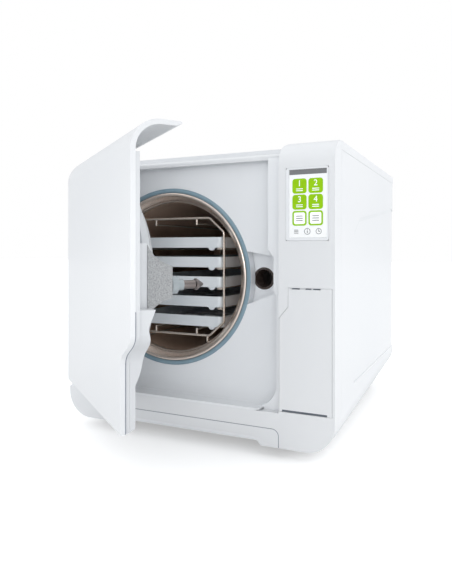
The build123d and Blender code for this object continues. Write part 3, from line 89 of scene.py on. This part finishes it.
def spread(tree, source, low_value, high_value):
    """The noise, stretched to run between two values."""
    ramp = tree.nodes.new("ShaderNodeMapRange")
    ramp.inputs["From Min"].default_value = noise_low
    ramp.inputs["From Max"].default_value = noise_high
    ramp.inputs["To Min"].default_value = low_value
    ramp.inputs["To Max"].default_value = high_value
    tree.links.new(source, ramp.inputs["Value"])
    return ramp.outputs["Result"]


def two_tone(tree, source, first, second):
    """The noise, coloured from first to second."""
    ramp = tree.nodes.new("ShaderNodeValToRGB")
    ramp.color_ramp.elements[0].position = noise_low
    ramp.color_ramp.elements[1].position = noise_high
    ramp.color_ramp.elements[0].color = (*first, 1)
    ramp.color_ramp.elements[1].color = (*second, 1)
    tree.links.new(source, ramp.inputs["Fac"])
    return ramp.outputs["Color"]


def relief(tree, shader, source, distance):
    bump = tree.nodes.new("ShaderNodeBump")
    bump.inputs["Strength"].default_value = 1.0
    bump.inputs["Distance"].default_value = distance
    tree.links.new(source, bump.inputs["Height"])
    tree.links.new(bump.outputs["Normal"], shader.inputs["Normal"])


def finish_of(name, first, second, rough, metallic=0.0, tone=6.0, grain=900.0, depth=0.00002, coat=0.0):
    """A material that drifts between two colours and two roughnesses; its grain is depth metres high."""
    material, tree, shader = new_material(name)
    shader.inputs["Metallic"].default_value = metallic
    shader.inputs["Coat Weight"].default_value = coat
    colour = two_tone(tree, noise(tree, tone, 4), first, second)
    tree.links.new(colour, shader.inputs["Base Color"])
    fine = noise(tree, grain, 2)
    tree.links.new(spread(tree, fine, rough[0], rough[1]), shader.inputs["Roughness"])
    if depth:
        relief(tree, shader, fine, depth)
    return material


materials = {
    "casing_white": finish_of(
        "casing_white", (0.80, 0.815, 0.835), (0.83, 0.84, 0.855),
        (0.30, 0.42), tone=3, grain=1400, depth=0.00001, coat=0.15),
    # The liner white is lighter than the casing white: painted light in the shaded bay
    "liner_white": finish_of(
        "liner_white", (0.86, 0.88, 0.905), (0.885, 0.90, 0.92),
        (0.34, 0.46), tone=4, grain=1800, depth=0.000012),
    "stainless": finish_of(
        "stainless", (0.80, 0.68, 0.60), (0.86, 0.75, 0.67),
        (0.24, 0.28), 1.0, tone=9, grain=1200, depth=0),
    "tray_aluminium": finish_of(
        "tray_aluminium", (0.80, 0.85, 0.88), (0.86, 0.90, 0.93),
        (0.42, 0.5), 0.1, tone=20, grain=1600, depth=0),
    "silicone": finish_of(
        "silicone", (0.22, 0.33, 0.40), (0.26, 0.37, 0.44), (0.5, 0.62), tone=40, grain=2200),
    "textured_grey": finish_of(
        "textured_grey", (0.22, 0.225, 0.23), (0.46, 0.47, 0.48),
        (0.6, 0.75), tone=700, grain=1300, depth=0.00012),
    "black_plastic": finish_of(
        "black_plastic", (0.018, 0.018, 0.02), (0.03, 0.03, 0.033),
        (0.35, 0.5), tone=60, grain=1500, depth=0.00003),
    "steel": finish_of(
        "steel", (0.42, 0.43, 0.45), (0.55, 0.56, 0.57), (0.28, 0.45), 1.0, tone=30, grain=700),
    "foam": finish_of(
        "foam", (0.28, 0.28, 0.25), (0.40, 0.40, 0.36),
        (0.85, 0.95), tone=700, grain=900, depth=0.0006),
    "rubber_feet": finish_of(
        "rubber_feet", (0.012, 0.012, 0.012), (0.022, 0.022, 0.022),
        (0.6, 0.75), tone=80, grain=1600, depth=0.00004),
    "board_green": finish_of(
        "board_green", (0.012, 0.10, 0.035), (0.02, 0.14, 0.05), (0.3, 0.45), tone=120, grain=1200),
    "brass": finish_of(
        "brass", (0.62, 0.42, 0.15), (0.72, 0.52, 0.22), (0.22, 0.36), 1.0, tone=50, grain=900),
    "clear_plastic": finish_of(
        "clear_plastic", (0.62, 0.72, 0.76), (0.70, 0.79, 0.82), (0.25, 0.4), tone=12, grain=900),
    "filter_white": finish_of(
        "filter_white", (0.80, 0.80, 0.79), (0.85, 0.85, 0.84), (0.45, 0.6), tone=30, grain=1500),
}
glass, glass_tree, glass_shader = new_material("screen_glass")
glass_shader.inputs["Roughness"].default_value = 0.12
glass_colour = two_tone(glass_tree, noise(glass_tree, 12, 2), (0.90, 0.92, 0.93), (0.95, 0.96, 0.96))
glass_tree.links.new(glass_colour, glass_shader.inputs["Base Color"])
glass_tree.links.new(glass_colour, glass_shader.inputs["Emission Color"])
glass_shader.inputs["Emission Strength"].default_value = 0.12
materials["screen_glass"] = glass


def screen_ink(name, colour, glow=0.25):
    material, tree, shader = new_material(name)
    darker = tuple(c * 0.95 for c in colour)
    lighter = tuple(min(1, c * 1.05) for c in colour)
    shade = two_tone(tree, noise(tree, 60, 2), darker, lighter)
    tree.links.new(shade, shader.inputs["Base Color"])
    tree.links.new(shade, shader.inputs["Emission Color"])
    shader.inputs["Emission Strength"].default_value = glow
    shader.inputs["Roughness"].default_value = 0.4
    shader.inputs["Specular IOR Level"].default_value = 0.2
    return material


ink_green = screen_ink("ink_green", (0.25, 0.50, 0.0))
ink_dark = screen_ink("ink_dark", (0.19, 0.195, 0.20), 0.1)
ink_white = screen_ink("ink_white", (0.93, 0.94, 0.94))

# Finishes of single nodes that differ from their slot's own
# The vessel's warm tan is partly the steel's own colour and partly painted light and painted reflection from
# inside the chamber
vessel_steel_painted_light = finish_of("vessel_steel_painted_light", (0.62, 0.44, 0.33), (0.80, 0.61, 0.49), (0.30, 0.38), 0.6, tone=9,
                         grain=900, depth=0)
wire_steel = finish_of("wire_steel", (0.66, 0.58, 0.51), (0.74, 0.67, 0.60), (0.22, 0.3), 0.85, tone=25,
                       grain=1500, depth=0)
plate_steel = finish_of("plate_steel", (0.66, 0.68, 0.70), (0.72, 0.735, 0.75), (0.4, 0.5), 0.3, tone=8,
                        grain=1200, depth=0.000008)
pin_steel = finish_of("pin_steel", (0.20, 0.17, 0.16), (0.28, 0.25, 0.24), (0.14, 0.2), 1.0, tone=40,
                      grain=1500, depth=0)
# The shell white is darker than the other whites: painted shade on the inner side of the open door and on its grip
shell_white_painted_shade = finish_of("shell_white_painted_shade", (0.68, 0.695, 0.715), (0.70, 0.715, 0.735), (0.34, 0.46), tone=4)
funnel_black = finish_of("funnel_black", (0.05, 0.036, 0.03), (0.075, 0.056, 0.05), (0.22, 0.3), tone=60,
                         grain=1500, depth=0)
bush_grey = finish_of("bush_grey", (0.34, 0.38, 0.40), (0.42, 0.46, 0.48), (0.3, 0.4), 0.4, tone=60,
                      grain=1500, depth=0)
own_finish = {
    "chamber": vessel_steel_painted_light,
    "tray_rack": wire_steel,
    "rack_rails": wire_steel,
    "rack_struts": wire_steel,
    "pressure_plate": plate_steel,
    "lock_pin": pin_steel,
    "door_inner_shell": shell_white_painted_shade,
    "door_grip": shell_white_painted_shade,
    "latch_receptacle": funnel_black,
    "lock_bush": bush_grey,
}

slot_of = {entry["node"]: entry["material_slot"] for entry in frame["record"]["subparts"]}
for name, node in nodes.items():
    node.data.materials.clear()
    node.data.materials.append(own_finish.get(name, materials[slot_of[name]]))


# Pieces laid over the frame
def piece(name, verts, faces, body, slot, material, smooth=False):
    mesh = bpy.data.meshes.new(name)
    mesh.from_pydata([tuple(v) for v in verts], [], faces)
    mesh.validate()
    made = bpy.data.objects.new(name, mesh)
    bpy.context.scene.collection.objects.link(made)
    mesh.materials.append(material)
    for polygon in mesh.polygons:
        polygon.use_smooth = smooth
    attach(made, body)
    return made


def slab(outline, back, face):
    """A flat piece from y=back to y=face; the outline is (x, z), anticlockwise seen from the front."""
    count = len(outline)
    verts = [at(x, face, z) for x, z in outline] + [at(x, back, z) for x, z in outline]
    faces = [tuple(range(count)), tuple(range(2 * count - 1, count - 1, -1))]
    for index in range(count):
        following = (index + 1) % count
        faces.append((index, index + count, following + count, following))
    return verts, faces


def rounded(left, bottom, width, height, radius, steps=6):
    """The outline of a rectangle with rounded corners, as (x, z)."""
    inner_left, inner_right = left + radius, left + width - radius
    inner_low, inner_high = bottom + radius, bottom + height - radius
    corners = ((inner_right, inner_low, -90), (inner_right, inner_high, 0),
               (inner_left, inner_high, 90), (inner_left, inner_low, 180))
    outline = []
    for x, z, start in corners:
        for step in range(steps + 1):
            angle = math.radians(start + 90 * step / steps)
            outline.append((x + radius * math.cos(angle), z + radius * math.sin(angle)))
    return outline


def joined(parts):
    """Several pieces of mesh as one."""
    verts, faces = [], []
    for part_verts, part_faces in parts:
        faces += [tuple(i + len(verts) for i in face) for face in part_faces]
        verts += part_verts
    return verts, faces


# Touch screen
screen_face = -0.2
ink_back = screen_face - 0.03
ink_front = ink_back - 0.06
ink_top = ink_front - 0.05
overlap = 0.01
button = 21
button_round = 4
button_rim = 2.4
columns = (171.3, 194.8)
rows = (379.3, 356.7, 333.9)
tiles = [slab(rounded(x, z, button, 21, button_round), ink_back, ink_front) for x in columns for z in rows]
piece("screen_buttons", *joined(tiles), "casing", "screen_glass", ink_green)
inner = [slab(rounded(x + button_rim, rows[2] + button_rim, button - 2 * button_rim, 16.2, button_rim),
              ink_front - overlap, ink_top) for x in columns]
piece("screen_button_fields", *joined(inner), "casing", "screen_glass", ink_white)
header = slab(rounded(166.9, 406, 54.2, 7.2, 0.4), ink_back, ink_front)
piece("screen_header", *header, "casing", "screen_glass", ink_dark)


def number(text, x, z, size, material, name, depth=(ink_front - overlap, ink_top)):
    """A digit as a solid mesh, centred at (x, z)."""
    curve = bpy.data.curves.new(name, "FONT")
    curve.body = text
    curve.size = size / 1000
    curve.align_x = "CENTER"
    curve.align_y = "CENTER"
    curve.extrude = abs(depth[0] - depth[1]) / 2000
    made = bpy.data.objects.new(name, curve)
    bpy.context.scene.collection.objects.link(made)
    made.location = at(x, (depth[0] + depth[1]) / 2, z)
    made.rotation_euler = (math.pi / 2, 0, 0)
    bpy.context.view_layer.update()
    mesh = bpy.data.meshes.new_from_object(made)
    solid = bpy.data.objects.new(name, mesh)
    solid.matrix_world = made.matrix_world.copy()
    bpy.context.scene.collection.objects.link(solid)
    bpy.data.objects.remove(made)
    mesh.materials.clear()
    mesh.materials.append(material)
    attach(solid, "casing")
    return solid


def text_bars(left, bottoms, back, face):
    """Small bars in place of lines of words."""
    return joined([slab(rounded(left, low, 10, 1.1, 0.5, 3), back, face) for low in bottoms])


count = 0
for row in rows[:2]:
    for column in columns:
        count += 1
        number(str(count), column + button / 2, row + 14, 12, ink_white, "screen_number_%d" % count)
        lines = text_bars(column + 5.5, (row + 6, row + 3.4), ink_front - overlap, ink_top)
        piece("screen_lines_%d" % count, *lines, "casing", "screen_glass", ink_white)
for index, column in enumerate(columns):
    bottoms = [rows[2] + low_z for low_z in (13, 9.8, 6.6)]
    lines = text_bars(column + 5.5, bottoms, ink_top - overlap, ink_top - 0.04)
    piece("screen_lines_%d" % (index + 5), *lines, "casing", "screen_glass", ink_dark)


def icon_bar(left, bottom, width, height, radius):
    return slab(rounded(left, bottom, width, height, radius, 3), ink_back, ink_front)


bars = [icon_bar(173.8, 325.6 + offset, 6.4, 1.0, 0.4) for offset in (-2.6, -0.5, 1.6)]
piece("screen_menu", *joined(bars), "casing", "screen_glass", ink_dark)


def ring(x, z, outer, inner_radius, back, face, steps=28):
    """A flat ring on the front plane."""
    verts, faces = [], []
    for y in (face, back):
        for radius in (outer, inner_radius):
            for step in range(steps):
                angle = 2 * math.pi * step / steps
                verts.append(at(x + radius * math.cos(angle), y, z + radius * math.sin(angle)))
    for step in range(steps):
        following = (step + 1) % steps
        faces.append((step, step + steps, following + steps, following))
        faces.append((step + 2 * steps, following + 2 * steps, following + 3 * steps, step + 3 * steps))
        faces.append((step, following, following + 2 * steps, step + 2 * steps))
        faces.append((step + steps, step + 3 * steps, following + 3 * steps, following + steps))
    return verts, faces


info = [
    ring(193.2, 325.8, 4.6, 3.8, ink_back, ink_front),
    icon_bar(192.7, 323.4, 1.1, 3.4, 0.4),
    icon_bar(192.7, 327.4, 1.1, 1.1, 0.5),
]
piece("screen_info", *joined(info), "casing", "screen_glass", ink_dark)
clock = [
    ring(209.6, 325.8, 4.2, 3.4, ink_back, ink_front),
    icon_bar(209.2, 325.6, 0.9, 2.9, 0.3),
    icon_bar(209.2, 325.2, 2.6, 0.9, 0.3),
]
piece("screen_clock", *joined(clock), "casing", "screen_glass", ink_dark)


# Turned pieces
def turned(name, profile, centre, place, body, slot, material, steps=160):
    """Turns (depth, radius) points about an axis along the depth, at centre (x, z)."""
    verts, faces = [], []
    for step in range(steps):
        angle = 2 * math.pi * step / steps
        for depth, radius in profile:
            x = centre[0] + radius * math.cos(angle)
            z = centre[1] + radius * math.sin(angle)
            verts.append(place(x, depth, z))
    count = len(profile)
    for step in range(steps):
        following = (step + 1) % steps
        for index in range(count):
            after = (index + 1) % count
            faces.append((step * count + index, step * count + after, following * count + after,
                          following * count + index))
    return piece(name, verts, faces, body, slot, material, smooth=True)


def sharpen(made, degrees=35):
    made.data.set_sharp_from_angle(angle=math.radians(degrees))
    return made


lip_low, lip_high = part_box("chamber_lip")
chamber_centre = ((lip_low.x + lip_high.x) * 500 - middle_x * 1000, (lip_low.z + lip_high.z) * 500)
lip_front = (lip_low.y - front_y) * 1000
lip_back = (lip_high.y - front_y) * 1000
lip_outer = (lip_high.x - lip_low.x) * 500
bore = 125.2
bead_depth = 2.2
bead_middle = lip_outer - 3.2
bead = []
for degrees in range(0, 181, 20):
    angle = math.radians(degrees)
    bead.append((lip_front + bead_depth - bead_depth * math.sin(angle),
                 bead_middle + 3.0 * math.cos(angle)))
flare = [
    (lip_front + 3.6, lip_outer - 7.0),
    (lip_front + 6.5, lip_outer - 10.0),
    (lip_front + 10.5, lip_outer - 12.4),
    (lip_front + 13.5, lip_outer - 13.4),
    (lip_front + 14.2, lip_outer - 14.6),
    (lip_front + 17.8, bore),
]
skirt = [
    (lip_back, bore),
    (lip_back, lip_outer - 6.4),
    (lip_front + 11, lip_outer - 6.4),
    (lip_front + 11, lip_outer - 0.2),
]
lip = sharpen(turned("polished_lip", bead + flare + skirt, chamber_centre, at, "casing", "stainless",
                     materials["stainless"], 200), 40)
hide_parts("chamber_lip")


# Painted shade: dark grey strips in the service door's slots, standing in for the shade inside them
door_low, door_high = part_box("service_door")
leaf_left = (door_low.x - middle_x) * 1000
leaf_low = (door_low.z) * 1000 + 4
leaf_high = (door_high.z) * 1000 - 4
slot_shade_back, slot_shade_face = 1.9, 0.9
low_slot_shade = slab(rounded(leaf_left + 4.2, leaf_low + 0.2, 65.6, 2.6, 0.4), slot_shade_back, slot_shade_face)
high_slot_shades = [slab(rounded(leaf_left + x, leaf_high - 1.7, width, 1.5, 0.3), slot_shade_back, slot_shade_face)
              for x, width in ((19, 11), (39, 8), (50, 10))]
slot_shade_grey = finish_of("slot_shade_grey", (0.10, 0.12, 0.15), (0.14, 0.16, 0.19), (0.5, 0.6), tone=50,
                      grain=900, depth=0)
piece("service_slot_shade", *joined([low_slot_shade] + high_slot_shades), "service_door_leaf", "black_plastic", slot_shade_grey)


# Painted shade: dark lines in the parting gaps round the drawer, and down the door's edge between its two shells
def ribbon(path, place, near, far, half, lift):
    """A band along (x, z) points, half wide each side, between two depths; lift moves it to the left."""
    verts, faces = [], []
    for index, (x, z) in enumerate(path):
        before = path[max(index - 1, 0)]
        after = path[min(index + 1, len(path) - 1)]
        length = math.hypot(after[0] - before[0], after[1] - before[1])
        left = (-(after[1] - before[1]) / length, (after[0] - before[0]) / length)
        for side in (half + lift, lift - half):
            for depth in (near, far):
                verts.append(place(x + left[0] * side, depth, z + left[1] * side))
    for index in range(len(path) - 1):
        a, b = index * 4, index * 4 + 4
        for one, two in ((0, 1), (1, 3), (3, 2), (2, 0)):
            faces.append((a + one, a + two, b + two, b + one))
    last = (len(path) - 1) * 4
    faces.append((0, 2, 3, 1))
    faces.append((last, last + 1, last + 3, last + 2))
    return verts, faces


seam_shade_grey = finish_of("seam_shade_grey", (0.13, 0.15, 0.21), (0.18, 0.20, 0.26), (0.5, 0.6), tone=50,
                      grain=900, depth=0)
drawer_low, drawer_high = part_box("drawer_front")
drawer_half = (drawer_high.x - drawer_low.x) * 500 + 0.3
drawer_roof = drawer_high.z * 1000 + 0.3
drawer_sole = drawer_low.z * 1000 + 0.4
drawer_round = 10
around = [(drawer_half, drawer_sole), (drawer_half, drawer_roof - drawer_round)]
for degrees in range(15, 91, 15):
    angle = math.radians(degrees)
    around.append((drawer_half - drawer_round + drawer_round * math.cos(angle),
                   drawer_roof - drawer_round + drawer_round * math.sin(angle)))
around += [(-x, z) for x, z in reversed(around)]
piece("drawer_seam_shade", *ribbon(around, at, -0.06, 3, 0.42, 0), "casing", "black_plastic", seam_shade_grey)

skin_right = 148.0
edge_cut = 42.0
cut_high = 200.0
cut_low = 157.0
cut_pull = 20
cut_steps = 15
door_bottom = 70.5
grip_top = 227.0
edge_path = [(skin_right - edge_cut, door_bottom + 0.6), (skin_right - edge_cut, cut_low)]
for step in range(1, cut_steps):
    t = step / cut_steps
    early = 3 * (1 - t) ** 2 * t
    late = 3 * (1 - t) * t * t
    x = skin_right - edge_cut + edge_cut * (late + t ** 3)
    z = cut_low + early * cut_pull + late * (cut_high - cut_pull - cut_low) + t ** 3 * (cut_high - cut_low)
    edge_path.append((x, z))
edge_path += [(skin_right, cut_high), (skin_right, grip_top)]
# The door's seam band is painted shade in the gap between its shells
piece("door_seam_shade", *ribbon(edge_path, on_door, 6.2, 7.0, 0.5, 0.3), "door", "black_plastic", seam_shade_grey)


# Painted shade: a soft grey band along the step of each side cover
def softened(points, radius, steps=8):
    """The path with its inner corners rounded."""
    path = [points[0]]
    for before, middle, after in zip(points, points[1:], points[2:]):
        into = Vector((middle[0] - before[0], middle[1] - before[1])).normalized()
        out = Vector((after[0] - middle[0], after[1] - middle[1])).normalized()
        turn = into.angle(out)
        reach = radius * math.tan(turn / 2)
        pull = radius * 4 / 3 * math.tan(turn / 4)
        start = Vector(middle) - into * reach
        end = Vector(middle) + out * reach
        for step in range(steps + 1):
            t = step / steps
            spot = (start * (1 - t) ** 3 + (start + into * pull) * 3 * t * (1 - t) ** 2
                    + (end - out * pull) * 3 * t * t * (1 - t) + end * t ** 3)
            path.append(tuple(spot))
    return path + [points[-1]]


def on_side(y, x, z):
    return at(x, y, z)


step_shade_grey = finish_of("step_shade_grey", (0.74, 0.755, 0.77), (0.77, 0.785, 0.80), (0.5, 0.6), tone=12,
                      grain=900, depth=0)
cover_low, cover_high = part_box("side_cover_right")
cover_half = (cover_high.x - middle_x) * 1000
cover_back = (cover_high.y - front_y) * 1000 - 1
recess_depth = 1.8
recess_front = 118
recess_low = 93
recess_climb = 326
recess_high = 352
recess_high_start = 161
recess_round = 16
recess_slope = 37
recess_run = 339
recess_high_back = recess_high + (cover_back - recess_high_start) * recess_slope / recess_run
step_path = softened([
    (recess_front, recess_low),
    (recess_front, recess_climb),
    (recess_high_start, recess_high),
    (cover_back, recess_high_back),
], recess_round)
for name, side in (("right", 1), ("left", -1)):
    outer = side * (cover_half - recess_depth)
    band = ribbon(step_path, on_side, outer - side * 0.3, outer + side * 0.1, 3.2, -3.3)
    piece("step_shade_line_" + name, *band, "casing", "casing_white", step_shade_grey)

# White collar round the seal where the lock pocket meets it
seal_low, seal_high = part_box("door_gasket")
seal_outer = (seal_high.x - seal_low.x) * 500
collar_inner = seal_outer + 0.06
collar_outer = seal_outer + 0.22
collar_profile = [(48.4, collar_inner), (66.6, collar_inner), (66.6, collar_outer), (48.4, collar_outer)]
sharpen(turned("seal_collar", collar_profile, chamber_centre, at, "casing", "liner_white",
               materials["liner_white"], 200), 30)


# Upright wires that stop the trays at the back of the rack
def rod(start, end, radius, steps=12):
    """A round bar between two world points, its radius in millimetres."""
    start, end = Vector(start), Vector(end)
    along = (end - start).normalized()
    across = along.orthogonal().normalized()
    other = along.cross(across)
    verts, faces = [], []
    for point in (start, end):
        for step in range(steps):
            angle = 2 * math.pi * step / steps
            verts.append(point + (across * math.cos(angle) + other * math.sin(angle)) * radius / 1000)
    for step in range(steps):
        following = (step + 1) % steps
        faces.append((step, following, following + steps, step + steps))
    faces.append(tuple(range(steps - 1, -1, -1)))
    faces.append(tuple(range(steps, 2 * steps)))
    return verts, faces


rack_low, rack_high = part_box("tray_rack")
rack_x = (rack_low.x + rack_high.x) * 500 - middle_x * 1000
rack_z = (rack_low.z + rack_high.z) * 500
rack_back = (rack_high.y - front_y) * 1000 - 2
rack_half = (rack_high.z - rack_low.z) * 500 - 2
stops = []
for x in (-48, 0, 48):
    foot = at(rack_x + x, rack_back, rack_z - rack_half)
    head = at(rack_x + x, rack_back, rack_z + rack_half)
    stops.append(rod(foot, head, 1.6))
piece("rack_back_wires", *joined(stops), "casing", "stainless", wire_steel, smooth=True)

# Small tabs under the trays' front edges, hooked over the rails
tab_spacing = 66
tab_half = 6
tab_drop = 4.5
for index in range(5):
    tray_low, tray_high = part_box("tray_%d" % (index + 1))
    tab_z = tray_low.z * 1000
    tab_front = (tray_low.y - front_y) * 1000
    tabs = []
    for hand in (-1, 1):
        tab_x = (tray_low.x + tray_high.x) * 500 - middle_x * 1000 + hand * tab_spacing
        outline = [(tab_x - tab_half, tab_z)]
        for degrees in range(190, 351, 20):
            angle = math.radians(degrees)
            outline.append((tab_x + tab_half * math.cos(angle), tab_z - 0.2 + tab_drop * math.sin(angle)))
        outline.append((tab_x + tab_half, tab_z))
        tabs.append(slab(outline, tab_front + 4, tab_front + 1.5))
    piece("tray_tabs_%d" % (index + 1), *joined(tabs), "casing", "tray_aluminium",
          materials["tray_aluminium"])


# Camera solved from the photo
scene = bpy.context.scene
camera_data = bpy.data.cameras.new("camera")
camera = bpy.data.objects.new("camera", camera_data)
scene.collection.objects.link(camera)
camera.location = (0.43533, -0.91587, 0.30064)
camera.rotation_euler = (math.radians(90), 0, math.radians(25.48))
camera_data.lens = 34.197
camera_data.sensor_width = 36
camera_data.shift_y = -0.0731
camera_data.clip_start = 0.01
camera_data.clip_end = 50
scene.camera = camera

# White floor that keeps the soft shadow
floor_mesh = bpy.data.meshes.new("floor")
floor_half = 12
floor_z = -0.0003
floor_corners = [(x * floor_half, y * floor_half, floor_z) for x, y in ((-1, -1), (1, -1), (1, 1), (-1, 1))]
floor_mesh.from_pydata(floor_corners, [], [(0, 1, 2, 3)])
floor = bpy.data.objects.new("floor", floor_mesh)
scene.collection.objects.link(floor)
floor_paint, floor_tree, floor_shader = new_material("floor_paint")
floor_shader.inputs["Base Color"].default_value = (0.9, 0.9, 0.9, 1)
floor_shader.inputs["Roughness"].default_value = 1
floor_shader.inputs["Specular IOR Level"].default_value = 0
floor_shader.inputs["Emission Color"].default_value = (1, 1, 1, 1)
floor_seen = floor_tree.nodes.new("ShaderNodeLightPath")
floor_lift = floor_tree.nodes.new("ShaderNodeMath")
floor_lift.operation = "MULTIPLY"
floor_lift.inputs[1].default_value = 0.36
floor_tree.links.new(floor_seen.outputs["Is Camera Ray"], floor_lift.inputs[0])
floor_tree.links.new(floor_lift.outputs["Value"], floor_shader.inputs["Emission Strength"])
floor_mesh.materials.append(floor_paint)

# Plain world light, seen as white
world = bpy.data.worlds.new("world")
scene.world = world
world.use_nodes = True
sky = world.node_tree
backdrop = sky.nodes["Background"]
backdrop.inputs["Color"].default_value = (0.96, 0.98, 1.0, 1)
backdrop.inputs["Strength"].default_value = 0.75
clean = sky.nodes.new("ShaderNodeBackground")
clean.inputs["Color"].default_value = (1, 1, 1, 1)
clean.inputs["Strength"].default_value = 1.0
rays = sky.nodes.new("ShaderNodeLightPath")
choose = sky.nodes.new("ShaderNodeMixShader")
sky.links.new(rays.outputs["Is Camera Ray"], choose.inputs["Fac"])
sky.links.new(backdrop.outputs["Background"], choose.inputs[1])
sky.links.new(clean.outputs["Background"], choose.inputs[2])
sky.links.new(choose.outputs["Shader"], sky.nodes["World Output"].inputs["Surface"])


def lamp(name, direction, power, spread_degrees):
    data = bpy.data.lights.new(name, "SUN")
    data.energy = power
    data.angle = math.radians(spread_degrees)
    light = bpy.data.objects.new(name, data)
    light.rotation_euler = Vector(direction).to_track_quat("-Z", "Y").to_euler()
    scene.collection.objects.link(light)


lamp("key", (0.9, 0.35, -0.6), 0.42, 70)
lamp("right", (-0.79, -0.50, -0.35), 1.07, 60)
lamp("front", (-0.3, 1, -0.03), 0.56, 50)
lamp("overhead", (0.05, 0.15, -1), 0.45, 80)

# Narrow beam into the open chamber
beam_data = bpy.data.lights.new("chamber_light", "SPOT")
beam_data.energy = 8
beam_data.spot_size = math.radians(13)
beam_data.spot_blend = 0.35
beam_data.shadow_soft_size = 0.12
beam = bpy.data.objects.new("chamber_light", beam_data)
beam.location = (0.42, -1.15, 0.44)
beam.rotation_euler = (at(-70, 60, 250) - beam.location).to_track_quat("-Z", "Y").to_euler()
scene.collection.objects.link(beam)

scene.view_settings.view_transform = "Standard"
